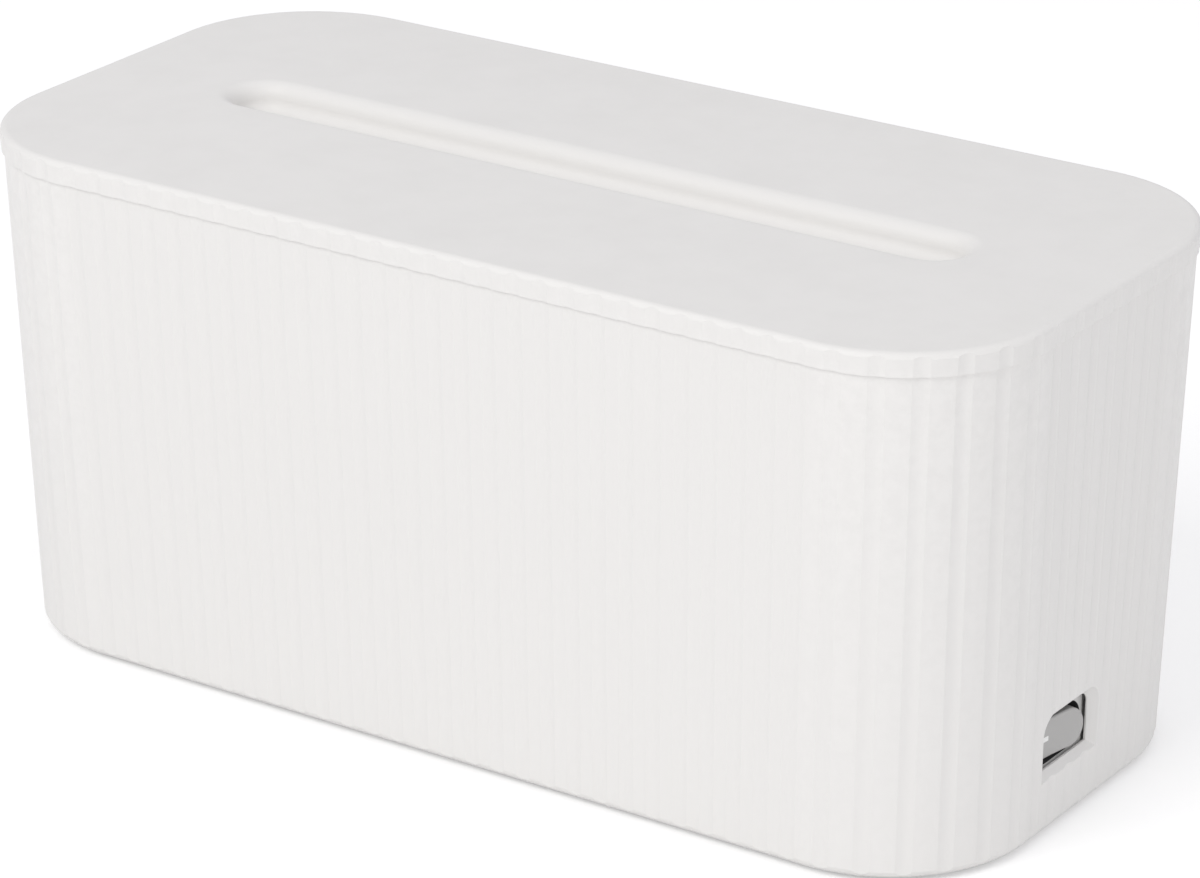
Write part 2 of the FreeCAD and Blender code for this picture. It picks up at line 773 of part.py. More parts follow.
inlet_way = block(
    "inlet_way",
    (f"-{STRIP_END} - {SPARE}", f"-{STRIP_END} + strip_wall + {SPARE}"),
    ("strip_offset - inlet_width / 2 - switch_fit", "strip_offset + inlet_width / 2 + switch_fit"),
    (
        f"{INLET_MIDDLE} - inlet_height / 2 - switch_fit",
        f"{INLET_MIDDLE} + inlet_height / 2 + switch_fit",
    ),
)
node(
    cut(
        "cover", fuse("cover_built", cover_shell, *cover_bosses),
        *case_pilots, *socket_ways, switch_way, inlet_way,
    ),
    "strip_cover",
)
node(group("case_screw_set", [
    screw(f"case_screw_{number}", spot, STRIP_BOTTOM, "screw_length")
    for number, spot in enumerate(CASE_SPOTS, start=1)
]), "case_screws")
node(group("mount_screw_set", [
    screw(f"mount_screw_{number}", spot, "foot_proud", "mount_screw_length")
    for number, spot in enumerate(MOUNT_SPOTS, start=1)
]), "mount_screws")


# Sockets: round cups with two pin holes, two clip slots and two side guides

for number, spot in enumerate(socket_places, start=1):
    centre_x = f"({spot:g} * {SOCKET_PITCH})"
    name = f"socket_{number}"
    cup_radius = "socket_bore / 2 + socket_wall"
    cup = turned(name + "_cup", (centre_x, "strip_offset", "0"), [
        ("0", CUP_BOTTOM),
        (cup_radius, CUP_BOTTOM),
        (cup_radius, STRIP_TOP),
        (f"{cup_radius} + socket_flange", STRIP_TOP),
        (f"{cup_radius} + socket_flange", f"{CUP_TOP} - flange_height / 2"),
        (f"{cup_radius} + socket_flange / 2", CUP_TOP),
        ("socket_bore / 2", CUP_TOP),
        ("socket_bore / 2", CUP_FLOOR),
        ("0", CUP_FLOOR),
    ])
    guides = [
        block(
            f"{name}_guide_{side}",
            (f"{centre_x} - guide_width / 2", f"{centre_x} + guide_width / 2"),
            (f"strip_offset + {low}", f"strip_offset + {high}"),
            (f"{CUP_FLOOR} - socket_floor / 2", f"{CUP_TOP} - flange_height"),
        )
        for side, low, high in (
            ("front", "-socket_bore / 2 - socket_wall / 2", "-socket_bore / 2 + guide_depth"),
            ("rear", "socket_bore / 2 - guide_depth", "socket_bore / 2 + socket_wall / 2"),
        )
    ]
    pin_holes = [
        rod(
            f"{name}_pin_hole_{pole}", "z", (centre_x, f"strip_offset + {BARS[pole]}"),
            "pin_hole / 2", (f"{CUP_BOTTOM} - socket_floor", f"{CUP_FLOOR} + socket_floor"),
        )
        for pole in ("line", "neutral")
    ]
    reach = "(clip_width / 2 + clip_slot_clearance)"
    clip_slots = [
        block(
            f"{name}_clip_slot_{side}", (low, high),
            (f"strip_offset - {reach}", f"strip_offset + {reach}"),
            (f"{CUP_BOTTOM} - socket_floor", f"{STRIP_TOP} - clip_top_gap / 2"),
        )
        for side, low, high in (
            (
                "left",
                f"{centre_x} - socket_bore / 2 - socket_wall - {SPARE}",
                f"{centre_x} - socket_bore / 2 + clip_bump * 2",
            ),
            (
                "right",
                f"{centre_x} + socket_bore / 2 - clip_bump * 2",
                f"{centre_x} + socket_bore / 2 + socket_wall + {SPARE}",
            ),
        )
    ]
    node(cut(name + "_cut", fuse(name + "_built", cup, *guides), *pin_holes, *clip_slots), name)


# Contact bars: stamped strips that lie on the tray's rests, with pairs of pin grips under
# each socket, or a pair of earth clips up its sides

def bar_strip(name, start, end, middle, width):
    """The flat run of a bar or link along the tray"""
    return block(
        name, (start, end),
        (f"strip_offset + {middle} - {width} / 2", f"strip_offset + {middle} + {width} / 2"),
        (BAR_BOTTOM, BAR_TOP),
    )


def bar_tab(name, side, middle, width, top):
    """An upright tab at the end of a bar, between two formulas along the strip"""
    return block(
        name, side,
        (f"strip_offset + {middle} - {width} / 2", f"strip_offset + {middle} + {width} / 2"),
        (BAR_BOTTOM, top),
    )


def grips(pole):
    """Two leaves on either side of each pin hole"""
    leaves = []
    for number, spot in enumerate(socket_places, start=1):
        centre_x = f"{spot:g} * {SOCKET_PITCH}"
        for side, low, high in (
            ("left", "-grip_gap / 2 - bar_thickness", "-grip_gap / 2"),
            ("right", "grip_gap / 2", "grip_gap / 2 + bar_thickness"),
        ):
            leaves.append(block(
                f"{pole}_grip_{number}_{side}",
                (f"{centre_x} + {low}", f"{centre_x} + {high}"),
                (
                    f"strip_offset + {BARS[pole]} - bar_width / 2",
                    f"strip_offset + {BARS[pole]} + bar_width / 2",
                ),
                (BAR_BOTTOM, f"{CUP_BOTTOM} - grip_clearance"),
            ))
    return leaves


FIRST_SOCKET = f"{socket_places[0]:g} * {SOCKET_PITCH}"
LAST_SOCKET = f"{socket_places[-1]:g} * {SOCKET_PITCH}"
INLET_TAB = (INLET_TAIL_END, f"{INLET_TAIL_END} + bar_thickness")
COMMON_TAB = (f"{COMMON_TAIL_END} - bar_thickness", COMMON_TAIL_END)
LOAD_TAB = (f"{LOAD_TAIL_END} - bar_thickness", LOAD_TAIL_END)
PIN_LEVEL = f"({INLET_MIDDLE} - inlet_pin_drop)"
EARTH_PIN_LEVEL = f"({INLET_MIDDLE} + inlet_pin_drop)"

node(fuse(
    "neutral_strip",
    bar_strip("neutral_run", INLET_TAB[0], f"{LAST_SOCKET} + bar_overrun", BARS["neutral"], "bar_width"),
    bar_tab("neutral_tab", INLET_TAB, BARS["neutral"], "bar_width", f"{PIN_LEVEL} + inlet_pin_height / 2"),
    *grips("neutral"),
), "neutral_bar")

node(fuse(
    "line_strip",
    bar_strip("line_run", f"{FIRST_SOCKET} - bar_overrun", LOAD_TAIL_END, BARS["line"], "bar_width"),
    block(
        "line_cross",
        (f"{LOAD_TAIL_END} - bar_width", LOAD_TAIL_END),
        (
            "strip_offset - pin_spacing / 2 - bar_width / 2",
            "strip_offset + contact_offset + bar_width / 2",
        ),
        (BAR_BOTTOM, BAR_TOP),
    ),
    bar_tab("line_tab", LOAD_TAB, "contact_offset", "bar_width", f"{SWITCH_LEVEL} + terminal_height / 2"),
    *grips("line"),
), "line_bar")

node(fuse(
    "link_strip",
    bar_strip("link_run", INLET_TAB[0], COMMON_TAIL_END, f"(-{LINK})", "link_width"),
    block(
        "link_inlet_cross",
        (INLET_TAB[0], f"{INLET_TAB[0]} + bar_width"),
        (f"strip_offset - {LINK}", "strip_offset - inlet_pin_spacing + link_width / 2"),
        (BAR_BOTTOM, BAR_TOP),
    ),
    bar_tab(
        "link_inlet_tab", INLET_TAB, "-inlet_pin_spacing", "link_width",
        f"{PIN_LEVEL} + inlet_pin_height / 2",
    ),
    block(
        "link_switch_cross",
        (f"{COMMON_TAIL_END} - bar_width", COMMON_TAIL_END),
        (f"strip_offset - {LINK}", "strip_offset + link_width / 2"),
        (BAR_BOTTOM, BAR_TOP),
    ),
    bar_tab("link_switch_tab", COMMON_TAB, "0", "link_width", f"{SWITCH_LEVEL} + terminal_height / 2"),
), "line_link")

CLIP_FACE = "(socket_bore / 2 + (socket_wall - bar_thickness) / 2)"
CLIP_TOP = f"({STRIP_TOP} - clip_top_gap)"
clips = []
for number, spot in enumerate(socket_places, start=1):
    centre_x = f"{spot:g} * {SOCKET_PITCH}"
    for side, low, high, bump in (
        ("left", f"-{CLIP_FACE} - bar_thickness", f"-{CLIP_FACE}", f"-{CLIP_FACE}"),
        ("right", CLIP_FACE, f"{CLIP_FACE} + bar_thickness", CLIP_FACE),
    ):
        leaf = block(
            f"earth_clip_{number}_{side}",
            (f"{centre_x} + {low}", f"{centre_x} + {high}"),
            ("strip_offset - clip_width / 2", "strip_offset + clip_width / 2"),
            (BAR_BOTTOM, CLIP_TOP),
        )
        knuckle = rod(
            f"earth_knuckle_{number}_{side}", "y",
            (f"{centre_x} + {bump}", f"{CLIP_TOP} - clip_bump"), "clip_bump",
            ("strip_offset - clip_width / 2", "strip_offset + clip_width / 2"),
        )
        behind = (f"{centre_x} - {CLIP_FACE} - bar_thickness", f"{centre_x} + {CLIP_FACE} + bar_thickness")
        keep = block(
            f"earth_keep_{number}_{side}", behind,
            ("strip_offset - clip_width", "strip_offset + clip_width"),
            (f"{CLIP_TOP} - clip_bump * 2", CLIP_TOP),
        )
        trimmed = doc.addObject("Part::Common", f"earth_contact_{number}_{side}")
        trimmed.Base, trimmed.Tool = knuckle, keep
        clips += [leaf, trimmed]
EARTH_END = f"{LAST_SOCKET} + socket_bore / 2 + socket_wall"
node(fuse(
    "earth_strip",
    bar_strip("earth_run", INLET_TAB[0], EARTH_END, "0", "bar_width"),
    bar_tab("earth_tab", INLET_TAB, "0", "bar_width", f"{EARTH_PIN_LEVEL} + inlet_pin_height / 2"),
    *clips,
), "earth_bar")


# Switch: a housing held in the strip's end wall, its rocker on two trunnions, the sprung
# plunger in the rocker, and the seesaw contact that the plunger tips

def pill(name, x, half_length, half_height, centre="strip_offset"):
    """A solid along X with half-round ends towards the front and the back"""
    middle = block(
        name + "_middle", x,
        (f"{centre} - {half_length} + {half_height}", f"{centre} + {half_length} - {half_height}"),
        (f"{SWITCH_LEVEL} - {half_height}", f"{SWITCH_LEVEL} + {half_height}"),
    )
    ends = [
        rod(
            f"{name}_{side}", "x",
            (f"{centre} {sign} ({half_length} - {half_height})", SWITCH_LEVEL), half_height, x,
        )
        for side, sign in (("near", "-"), ("far", "+"))
    ]
    return fuse(name, middle, *ends)


def switch_block(name, x, grow):
    """A block of the switch's own section, grown on its four sides"""
    return block(
        name, x,
        (f"strip_offset - switch_length / 2 - {grow}", f"strip_offset + switch_length / 2 + {grow}"),
        (f"{SWITCH_LEVEL} - switch_height / 2 - {grow}", f"{SWITCH_LEVEL} + switch_height / 2 + {grow}"),
    )


def blade_slot(middle, grow):
    """The way of a terminal through the switch's back, or the terminal's own tail"""
    return (
        f"strip_offset + {middle} - blade_thickness / 2 - {grow}",
        f"strip_offset + {middle} + blade_thickness / 2 + {grow}",
    ), (
        f"{SWITCH_LEVEL} - terminal_height / 2 - {grow}",
        f"{SWITCH_LEVEL} + terminal_height / 2 + {grow}",
    )


ROCKER_HEIGHT = "(switch_height - pivot_wall * 2 - rocker_gap * 2)"
ROCKER_LENGTH = "(switch_length - switch_wall * 2 - rocker_gap * 2 - rocker_swing * 2)"
COLLAR = (f"{STRIP_END} - strip_wall - collar_thickness", f"{STRIP_END} - strip_wall")
CAVITY_BACK = f"({SWITCH_REAR} + switch_back)"
pivot_way = rod(
    "pivot_way", "z", (PIVOT, "strip_offset"), "pivot_diameter / 2 + pivot_clearance",
    (f"{SWITCH_LEVEL} - switch_height / 2 - {SPARE}", f"{SWITCH_LEVEL} + switch_height / 2 + {SPARE}"),
)
terminal_ways = [
    block(
        f"{name}_way", (f"{SWITCH_REAR} - {SPARE}", f"{CAVITY_BACK} + {SPARE}"),
        *blade_slot(middle, "0"),
    )
    for name, middle in (("common", "0"), ("load", "contact_offset"))
]
switch_solid = fuse(
    "switch_built",
    switch_block("switch_body", (SWITCH_REAR, SWITCH_FRONT), "0"),
    switch_block("switch_collar", COLLAR, "collar_lip"),
)
switch_cavity = pill(
    "switch_cavity", (CAVITY_BACK, f"{SWITCH_FRONT} + {SPARE}"),
    f"({ROCKER_LENGTH} / 2 + rocker_gap + rocker_swing)", f"({ROCKER_HEIGHT} / 2 + rocker_gap)",
)
node(cut("switch_case", switch_solid, switch_cavity, pivot_way, *terminal_ways), "switch_housing")

inlet_body = block(
    "inlet_body", (INLET_FRONT, INLET_REAR),
    ("strip_offset - inlet_width / 2", "strip_offset + inlet_width / 2"),
    (f"{INLET_MIDDLE} - inlet_height / 2", f"{INLET_MIDDLE} + inlet_height / 2"),
)
inlet_collar = block(
    "inlet_collar", (f"-{STRIP_END} + strip_wall", f"-{STRIP_END} + strip_wall + collar_thickness"),
    ("strip_offset - inlet_width / 2 - collar_lip", "strip_offset + inlet_width / 2 + collar_lip"),
    (
        f"{INLET_MIDDLE} - inlet_height / 2 - collar_lip",
        f"{INLET_MIDDLE} + inlet_height / 2 + collar_lip",
    ),
)
inlet_hollow = block(
    "inlet_hollow", (f"{INLET_FRONT} - {SPARE}", f"{INLET_FRONT} + inlet_cavity"),
    ("strip_offset - inlet_width / 2 + inlet_wall", "strip_offset + inlet_width / 2 - inlet_wall"),
    (
        f"{INLET_MIDDLE} - inlet_height / 2 + inlet_wall",
        f"{INLET_MIDDLE} + inlet_height / 2 - inlet_wall",
    ),
)
inlet_middle = size(INLET_MIDDLE)
inlet_recess = rounded(
    "inlet_recess", "Part::Chamfer", inlet_hollow, size("inlet_chamfer"),
    lambda edge: along("x")(edge) and edge.BoundBox.ZMin > inlet_middle,
)


def inlet_pin(pole, name):
    """A flat pin from inside the inlet's recess to its tail behind"""
    middle, level = INLET_PINS[pole]
    return block(
        name,
        (f"{INLET_FRONT} + inlet_cavity - inlet_pin_length", INLET_TAIL_END),
        (
            f"strip_offset + {middle} - inlet_pin_thickness / 2",
            f"strip_offset + {middle} + inlet_pin_thickness / 2",
        ),
        (f"{level} - inlet_pin_height / 2", f"{level} + inlet_pin_height / 2"),
    )


INLET_PINS = {
    "line": ("(-inlet_pin_spacing)", PIN_LEVEL),
    "neutral": ("inlet_pin_spacing", PIN_LEVEL),
    "earth": ("0", EARTH_PIN_LEVEL),
}
node(cut(
    "inlet_case", fuse("inlet_built", inlet_body, inlet_collar), inlet_recess,
    *[inlet_pin(pole, f"inlet_{pole}_way") for pole in INLET_PINS],
), "inlet_housing")
for pole in INLET_PINS:
    node(inlet_pin(pole, f"inlet_{pole}_blade"), f"inlet_{pole}_pin")

# Pieces that rock are drawn about their own upright axis, then set down on it, tilted.
# At rest the rocker's near end is in and the seesaw's far end is in.


def rocking(item, label, pivot, tilt):
    """Sets a piece on its pivot and marks it as a sub-part"""
    place(item, pivot, "strip_offset", "0")
    item.Placement.Rotation = FreeCAD.Rotation(Vector(0, 0, 1), tilt)
    return node(item, label)


ROCKER_TILT = -size("rocker_tilt")
rocker_blank = pill(
    "rocker_blank", ("-rocker_skirt", "rocker_reach"),
    f"({ROCKER_LENGTH} / 2)", f"({ROCKER_HEIGHT} / 2)", "0",
)
dish = rod(
    "rocker_hollow", "z",
    (f"rocker_reach + sqrt(rocker_dish ^ 2 - ({ROCKER_LENGTH} / 2) ^ 2)", "0"), "rocker_dish",
    (f"{SWITCH_LEVEL} - {ROCKER_HEIGHT}", f"{SWITCH_LEVEL} + {ROCKER_HEIGHT}"),
)
rocker_dished = cut("rocker_dished", rocker_blank, dish)
# The dish sinks by an eighth of its length squared over its radius: twice that is below it
face_reach = size(f"rocker_reach - {ROCKER_LENGTH} ^ 2 / (rocker_dish * 4)")
rocker_soft = rounded(
    "rocker_soft", "Part::Fillet", rocker_dished, size("rocker_edge"),
    lambda edge: edge.BoundBox.XMin > face_reach,
)
mark_block = block(
    "mark_block", ("rocker_reach - mark_depth * 2", f"rocker_reach + {SPARE}"),
    ("-mark_start - mark_length", "-mark_start"),
    (f"{SWITCH_LEVEL} - mark_width / 2", f"{SWITCH_LEVEL} + mark_width / 2"),
)
trunnions = rod(
    "trunnions", "z", ("0", "0"), "pivot_diameter / 2",
    (
        f"{SWITCH_LEVEL} - {ROCKER_HEIGHT} / 2 - rocker_gap - pivot_bite",
        f"{SWITCH_LEVEL} + {ROCKER_HEIGHT} / 2 + rocker_gap + pivot_bite",
    ),
)
plunger_bore = rod(
    "plunger_bore", "x", ("0", SWITCH_LEVEL), "plunger_diameter / 2 + plunger_clearance",
    (f"-rocker_skirt - {SPARE}", "plunger_back + spring_length"),
)
rocking(
    cut("rocker_built", fuse("rocker_solid", rocker_soft, trunnions), mark_block, plunger_bore),
    "rocker", PIVOT, ROCKER_TILT,
)
mark = doc.addObject("Part::Common", "rocker_mark_built")
mark.Base, mark.Tool = rocker_soft, mark_block
rocking(mark, "rocker_mark", PIVOT, ROCKER_TILT)

plunger_stem = rod(
    "plunger_stem", "x", ("0", SWITCH_LEVEL), "plunger_diameter / 2",
    ("-plunger_reach + plunger_diameter / 2", "plunger_back"),
)
plunger_tip = doc.addObject("Part::Sphere", "plunger_tip")
plunger_tip.setExpression("Radius", bound("plunger_diameter / 2"))
place(plunger_tip, "-plunger_reach + plunger_diameter / 2", "0", SWITCH_LEVEL)
rocking(fuse("plunger_built", plunger_stem, plunger_tip), "rocker_plunger", PIVOT, ROCKER_TILT)


def coil_spring():
    """A compression spring that starts at its own origin and runs up its own axis"""
    wire = size("spring_wire")
    middle = size("(spring_diameter - spring_wire) / 2")
    rise = size("spring_length - spring_wire")
    helix = Part.makeHelix(rise / size("spring_turns"), rise, middle)
    section = Part.Wire(Part.makeCircle(wire / 2, Vector(middle, 0, 0), Vector(0, 1, 0)))
    return Part.Wire(helix).makePipeShell([section], True, True)


# The spring lies in the rocker's bore, between the plunger's back and the bore's end
SPRING_START = "(plunger_back + spring_wire / 2)"
spring = solid("spring_coil", coil_spring())
place(
    spring,
    f"{PIVOT} + {SPRING_START} * cos(rocker_tilt)",
    f"strip_offset - {SPRING_START} * sin(rocker_tilt)",
    SWITCH_LEVEL,
)
spring.Placement.Rotation = FreeCAD.Rotation(Vector(0, 0, 1), ROCKER_TILT).multiply(AXIS_TURNS["x"])
node(spring, "rocker_spring")

seesaw = block(
    "seesaw_plate", (BLADE_STAND, f"{BLADE_STAND} + blade_thickness"),
    ("-blade_length / 2", "blade_length / 2"),
    (f"{SWITCH_LEVEL} - blade_height / 2", f"{SWITCH_LEVEL} + blade_height / 2"),
)
rivet = rod(
    "seesaw_rivet", "x", ("contact_offset", SWITCH_LEVEL), "contact_diameter / 2",
    (f"{BLADE_STAND} - contact_height", f"{BLADE_STAND} + blade_thickness / 2"),
)
rocking(fuse("seesaw_built", seesaw, rivet), "contact_blade", FULCRUM, size("blade_tilt"))

common_tail = block("common_tail", (COMMON_TAIL_END, FULCRUM), *blade_slot("0", "0"))
knife = rod(
    "knife_edge", "z", (FULCRUM, "strip_offset"), "blade_thickness / 2",
    (f"{SWITCH_LEVEL} - terminal_height / 2", f"{SWITCH_LEVEL} + terminal_height / 2"),
)
node(fuse("common_built", common_tail, knife), "switch_common_terminal")

CONTACT_FACE = (
    f"({FULCRUM} + ({BLADE_STAND} - contact_height) * cos(blade_tilt)"
    " - (contact_offset + contact_diameter / 2) * sin(blade_tilt) - contact_gap)"
)
load_tail = block("load_tail", (LOAD_TAIL_END, CAVITY_BACK), *blade_slot("contact_offset", "0"))
load_plate = block(
    "load_plate", (CAVITY_BACK, f"{CAVITY_BACK} + blade_thickness"),
    (
        "strip_offset + contact_offset - blade_height / 2",
        "strip_offset + contact_offset + blade_height / 2",
    ),
    (f"{SWITCH_LEVEL} - blade_height / 2", f"{SWITCH_LEVEL} + blade_height / 2"),
)
load_contact = rod(
    "load_contact", "x", ("strip_offset + contact_offset", SWITCH_LEVEL), "contact_diameter / 2",
    (CAVITY_BACK, CONTACT_FACE),
)
node(fuse("load_built", load_tail, load_plate, load_contact), "switch_load_terminal")

doc.recompute()
for item in doc.Objects:
    if {"Invalid", "Error"} & set(item.State):
        raise SystemExit(f"{item.Name} did not build: {item.State}")
for item in nodes:
    if item.Shape.isNull() or not item.Shape.isValid() or not item.Shape.Solids:
        raise SystemExit(f"{item.Label} is not a valid solid")
for item in nodes:
    item.Shape.exportStep(f"parts/{item.Label}.step")
    box = item.Shape.BoundBox
    print(
        f"{item.Label}: {len(item.Shape.Solids)} solid(s), {len(item.Shape.Faces)} faces,"
        f" {item.Shape.Volume:.1f} mm3, x {box.XMin:.2f} to {box.XMax:.2f},"
        f" y {box.YMin:.2f} to {box.YMax:.2f}, z {box.ZMin:.2f} to {box.ZMax:.2f}"
    )
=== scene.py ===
import math

import bmesh
import bpy
from mathutils import Matrix, Vector


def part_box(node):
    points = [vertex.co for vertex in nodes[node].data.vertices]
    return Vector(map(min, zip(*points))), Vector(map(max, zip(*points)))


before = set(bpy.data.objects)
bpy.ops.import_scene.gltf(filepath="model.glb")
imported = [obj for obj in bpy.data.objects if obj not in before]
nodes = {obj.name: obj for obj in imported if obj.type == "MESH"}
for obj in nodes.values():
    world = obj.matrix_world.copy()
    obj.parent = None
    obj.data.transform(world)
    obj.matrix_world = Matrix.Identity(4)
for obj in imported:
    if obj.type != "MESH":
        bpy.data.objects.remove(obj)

scene = bpy.context.scene
scene.view_settings.view_transform = "Standard"
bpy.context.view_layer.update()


# Camera: a long lens a little over a metre away, to the right of the box's front and above
# it. It looks a few millimetres off the box's middle.

azimuth = math.radians(34.072)
elevation = math.radians(22.380)
camera_distance = 1.329474
box_middle = Vector((0, 0, 0.07))
aim_right, aim_up = 0.003718, -0.004488
backward = Vector((
    math.sin(azimuth) * math.cos(elevation),
    -math.cos(azimuth) * math.cos(elevation),
    math.sin(elevation),
))
rightward = Vector((math.cos(azimuth), math.sin(azimuth), 0))
upward = backward.cross(rightward)
aim = box_middle + rightward * aim_right + upward * aim_up

camera_data = bpy.data.cameras.new("camera")
camera_data.sensor_width = 36
camera_data.lens = 154.186
camera = bpy.data.objects.new("camera", camera_data)
camera.matrix_world = (
    Matrix.Translation(aim + backward * camera_distance)
    @ Matrix((rightward, upward, backward)).transposed().to_4x4()
)
scene.collection.objects.link(camera)
scene.camera = camera


# Floor: one wide pale sheet of card. Its lit part shows white to the camera, and the box's
# own shade on it stays. From underneath it is clear, so that the feet can be seen.

floor_radius = 9.0
floor_colour = (0.86, 0.86, 0.86, 1)
floor_glow = 0.29


def link_mesh(name, shape):
    """A new object at the origin that holds a finished bmesh"""
    mesh = bpy.data.meshes.new(name)
    shape.to_mesh(mesh)
    shape.free()
    item = bpy.data.objects.new(name, mesh)
    scene.collection.objects.link(item)
    return item


def add_node(tree, kind, inputs=None, **settings):
    """A shader node with its settings made, and its inputs set or joined to other sockets"""
    made = tree.nodes.new(kind)
    for key, value in settings.items():
        setattr(made, key, value)
    for key, value in (inputs or {}).items():
        if isinstance(value, bpy.types.NodeSocket):
            tree.links.new(value, made.inputs[key])
        else:
            made.inputs[key].default_value = value
    return made


sheet = bmesh.new()
bmesh.ops.create_circle(sheet, cap_ends=True, segments=96, radius=floor_radius)
floor = link_mesh("floor", sheet)
card = bpy.data.materials.new("floor_card")
card.use_nodes = True
card_tree = card.node_tree
card_paper = card_tree.nodes["Principled BSDF"]
card_paper.inputs["Roughness"].default_value = 0.9
card_paper.inputs["Specular IOR Level"].default_value = 0.1
card_paper.inputs["Base Color"].default_value = floor_colour
card_ray = add_node(card_tree, "ShaderNodeLightPath")
card_side = add_node(card_tree, "ShaderNodeNewGeometry")
card_seen = add_node(card_tree, "ShaderNodeMath", operation="MAXIMUM", inputs={
    0: card_ray.outputs["Is Camera Ray"], 1: card_ray.outputs["Is Glossy Ray"],
})
card_strength = add_node(card_tree, "ShaderNodeMath", operation="MULTIPLY", inputs={
    0: card_seen.outputs[0], 1: floor_glow,
})
card_glow = add_node(card_tree, "ShaderNodeEmission", {"Strength": card_strength.outputs[0]})
card_lit = add_node(card_tree, "ShaderNodeAddShader", {
    0: card_paper.outputs[0], 1: card_glow.outputs[0],
})
card_clear = add_node(card_tree, "ShaderNodeBsdfTransparent")
card_mix = add_node(card_tree, "ShaderNodeMixShader", {
    0: card_side.outputs["Backfacing"], 1: card_lit.outputs[0], 2: card_clear.outputs[0],
})
card_tree.links.new(card_mix.outputs[0], card_tree.nodes["Material Output"].inputs["Surface"])
floor.data.materials.append(card)


# Light: an even pale room, a large soft lamp in front and above, and a weaker one off the
# front right corner. The top and the right end come out a little darker than the front.

room_colour = (0.975, 0.974, 1.0, 1)
room_strength = 0.72
world = bpy.data.worlds.new("room")
world.use_nodes = True
world_tree = world.node_tree
room = world_tree.nodes["Background"]
room.inputs["Color"].default_value = room_colour
room.inputs["Strength"].default_value = room_strength
white = add_node(world_tree, "ShaderNodeBackground", {"Color": (1, 1, 1, 1), "Strength": 1.0})
room_ray = add_node(world_tree, "ShaderNodeLightPath")
room_mix = add_node(world_tree, "ShaderNodeMixShader", {
    0: room_ray.outputs["Is Camera Ray"], 1: room.outputs[0], 2: white.outputs[0],
})
world_tree.links.new(room_mix.outputs[0], world_tree.nodes["World Output"].inputs["Surface"])
scene.world = world


def soft_lamp(name, place, watts, side, colour):
    """A square lamp that faces the box's middle"""
    lamp_data = bpy.data.lights.new(name, "AREA")
    lamp_data.energy = watts
    lamp_data.size = side
    lamp_data.color = colour
    lamp = bpy.data.objects.new(name, lamp_data)
    lamp.location = place
    lamp.rotation_euler = (box_middle - lamp.location).to_track_quat("-Z", "Y").to_euler()
    scene.collection.objects.link(lamp)


soft_lamp(
    "front_lamp", Vector((-0.3, -1.55, 1.6)), watts=14.5, side=1.1, colour=(1.0, 0.99, 0.965),
)
soft_lamp(
    "end_lamp", Vector((1.7, -1.1, 0.5)), watts=5, side=1.2, colour=(1.0, 0.985, 0.965),
)


# Tub and lid: two injection mouldings in warm white plastic with a fine spark-eroded skin.
# The lid lies on the tub's rim. Their edges are rubbed a little smoother than their faces.

def new_group(name, inputs, outputs):
    """An empty shader group with its sockets, and its two end nodes"""
    group = bpy.data.node_groups.new(name, "ShaderNodeTree")
    for label, value in inputs:
        socket = group.interface.new_socket(label, in_out="INPUT", socket_type="NodeSocketFloat")
        socket.default_value = value
    for label in outputs:
        group.interface.new_socket(label, in_out="OUTPUT", socket_type="NodeSocketFloat")
    return group, group.nodes.new("NodeGroupInput"), group.nodes.new("NodeGroupOutput")


# Skin of a moulding: a fine height, and slow clouds of shade
skin, skin_in, skin_out = new_group(
    "moulded_skin", [("Grain Scale", 2600.0), ("Cloud Scale", 9.0)], ["Height", "Clouds"],
)
skin_place = add_node(skin, "ShaderNodeTexCoord")
skin_grain = add_node(skin, "ShaderNodeTexNoise", {
    "Vector": skin_place.outputs["Object"], "Scale": skin_in.outputs["Grain Scale"],
    "Detail": 2.0, "Roughness": 0.55,
})
skin_clouds = add_node(skin, "ShaderNodeTexNoise", {
    "Vector": skin_place.outputs["Object"], "Scale": skin_in.outputs["Cloud Scale"],
    "Detail": 3.0, "Roughness": 0.5,
})
skin.links.new(skin_grain.outputs[0], skin_out.inputs["Height"])
skin.links.new(skin_clouds.outputs[0], skin_out.inputs["Clouds"])

# Rubbed edges: where the surface bends outwards, broken up by noise
rubbed, rubbed_in, rubbed_out = new_group(
    "rubbed_edges", [("Start", 0.53), ("Full", 0.62), ("Patch Scale", 300.0)], ["Mask"],
)
rubbed_place = add_node(rubbed, "ShaderNodeTexCoord")
rubbed_shape = add_node(rubbed, "ShaderNodeNewGeometry")
rubbed_edge = add_node(rubbed, "ShaderNodeMapRange", {
    "Value": rubbed_shape.outputs["Pointiness"],
    "From Min": rubbed_in.outputs["Start"], "From Max": rubbed_in.outputs["Full"],
})
rubbed_noise = add_node(rubbed, "ShaderNodeTexNoise", {
    "Vector": rubbed_place.outputs["Object"], "Scale": rubbed_in.outputs["Patch Scale"],
    "Detail": 4.0, "Roughness": 0.6,
})
rubbed_patch = add_node(rubbed, "ShaderNodeMapRange", {
    "Value": rubbed_noise.outputs[0], "From Min": 0.35, "From Max": 0.6,
})
rubbed_mask = add_node(rubbed, "ShaderNodeMath", operation="MULTIPLY", inputs={
    0: rubbed_edge.outputs[0], 1: rubbed_patch.outputs[0],
})
rubbed.links.new(rubbed_mask.outputs[0], rubbed_out.inputs["Mask"])

